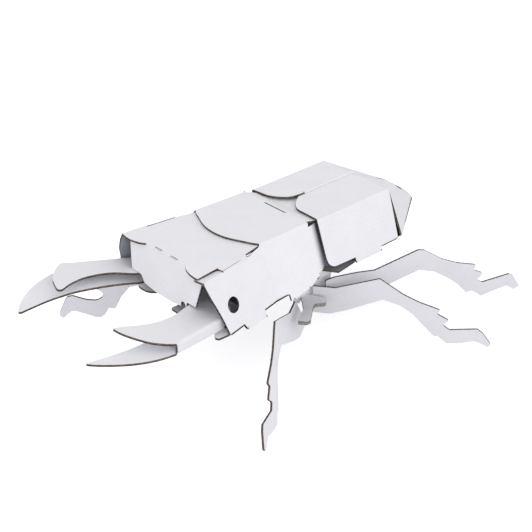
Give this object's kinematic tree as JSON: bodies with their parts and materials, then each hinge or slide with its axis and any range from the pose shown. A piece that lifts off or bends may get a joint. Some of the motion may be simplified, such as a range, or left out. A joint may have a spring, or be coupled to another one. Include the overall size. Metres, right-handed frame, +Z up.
{
  "type": "folded card stag beetle model",
  "caption": "Free-standing stag beetle model folded from white corrugated card, with pronged jaws, a boxed thorax, pointed wing cases and flat clawed legs.",
  "frame": {"origin": "on the ground plane under the middle of the standing envelope, on the body's middle plane", "axes": "-Y towards the head and jaws, +X to the beetle's left side, +Z up; the claws stand on Z = 0"},
  "size_m": [0.2612, 0.3609, 0.0961],
  "materials": {
    "white_card": "white-lined single-wall micro-flute corrugated board, matt, brown fluted core on the cut edges",
    "rolled_paper": "rolled kraft paper"
  },
  "bodies": {
    "body": {"thorax_shell": "white_card", "head_cover": "white_card", "head_floor": "white_card", "wing_case_left": "white_card", "wing_case_right": "white_card", "belly_tray": "white_card", "neck_wall": "white_card", "abdomen_front_wall": "white_card", "abdomen_rear_wall": "white_card", "head_rear_wall": "white_card", "leg_hub": "white_card", "lock_plate_upper_left": "white_card", "lock_plate_lower_left": "white_card", "lock_plate_upper_right": "white_card", "lock_plate_lower_right": "white_card", "mandible_pin_left": "rolled_paper", "mandible_pin_right": "rolled_paper"},
    "mandible_left": {"mandible_left": "white_card"},
    "mandible_right": {"mandible_right": "white_card"},
    "leg_front_left": {"leg_front_left": "white_card"},
    "leg_middle_left": {"leg_middle_left": "white_card"},
    "leg_rear_left": {"leg_rear_left": "white_card"},
    "leg_front_right": {"leg_front_right": "white_card"},
    "leg_middle_right": {"leg_middle_right": "white_card"},
    "leg_rear_right": {"leg_rear_right": "white_card"}
  },
  "joints": [
    {"name": "mandible_left_swing", "type": "hinge", "parent": "body", "child": "mandible_left", "pos_m": [0.0378, -0.07553, 0.0651], "axis": [0, 0, -1], "range_deg": [-1, 6]},
    {"name": "mandible_right_swing", "type": "hinge", "parent": "body", "child": "mandible_right", "pos_m": [-0.0378, -0.07553, 0.0651], "axis": [0, 0, 1], "range_deg": [-1, 6]},
    {"name": "leg_front_left_yaw", "type": "hinge", "parent": "body", "child": "leg_front_left", "pos_m": [0.02695, 0.01337, 0.0322], "axis": [0, 0, 1], "range_deg": [-6, 6]},
    {"name": "leg_middle_left_yaw", "type": "hinge", "parent": "body", "child": "leg_middle_left", "pos_m": [0.02695, 0.02037, 0.0322], "axis": [0, 0, 1], "range_deg": [-6, 6]},
    {"name": "leg_rear_left_yaw", "type": "hinge", "parent": "body", "child": "leg_rear_left", "pos_m": [0.0301, 0.02975, 0.0287], "axis": [0, 0, 1], "range_deg": [-6, 6]},
    {"name": "leg_front_right_yaw", "type": "hinge", "parent": "body", "child": "leg_front_right", "pos_m": [-0.01855, 0.00854, 0.0322], "axis": [0, 0, -1], "range_deg": [-6, 6]},
    {"name": "leg_middle_right_yaw", "type": "hinge", "parent": "body", "child": "leg_middle_right", "pos_m": [-0.02695, 0.02037, 0.0322], "axis": [0, 0, -1], "range_deg": [-6, 6]},
    {"name": "leg_rear_right_yaw", "type": "hinge", "parent": "body", "child": "leg_rear_right", "pos_m": [-0.0301, 0.02975, 0.0287], "axis": [0, 0, -1], "range_deg": [-6, 6]}
  ]
}
